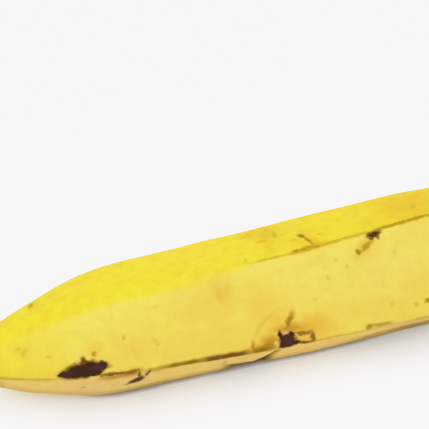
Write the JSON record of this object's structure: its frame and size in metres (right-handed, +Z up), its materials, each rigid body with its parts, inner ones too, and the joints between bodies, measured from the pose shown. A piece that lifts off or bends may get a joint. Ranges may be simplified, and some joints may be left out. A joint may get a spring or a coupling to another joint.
{
  "type": "banana",
  "caption": "Single ripe banana with five soft corners, a tapered blossom tip and a cut stem, lying on one flat side.",
  "frame": {"origin": "centre of the fruit's box, at the height of the surface that it lies on", "axes": "+Z up from the flat side that it rests on, +X along the fruit towards the cut stem, -Y the broad front side"},
  "size_m": [0.2336, 0.0478, 0.0517],
  "materials": {
    "peel": "waxy satin peel"
  },
  "bodies": {
    "root": {"banana": "peel"}
  },
  "joints": []
}
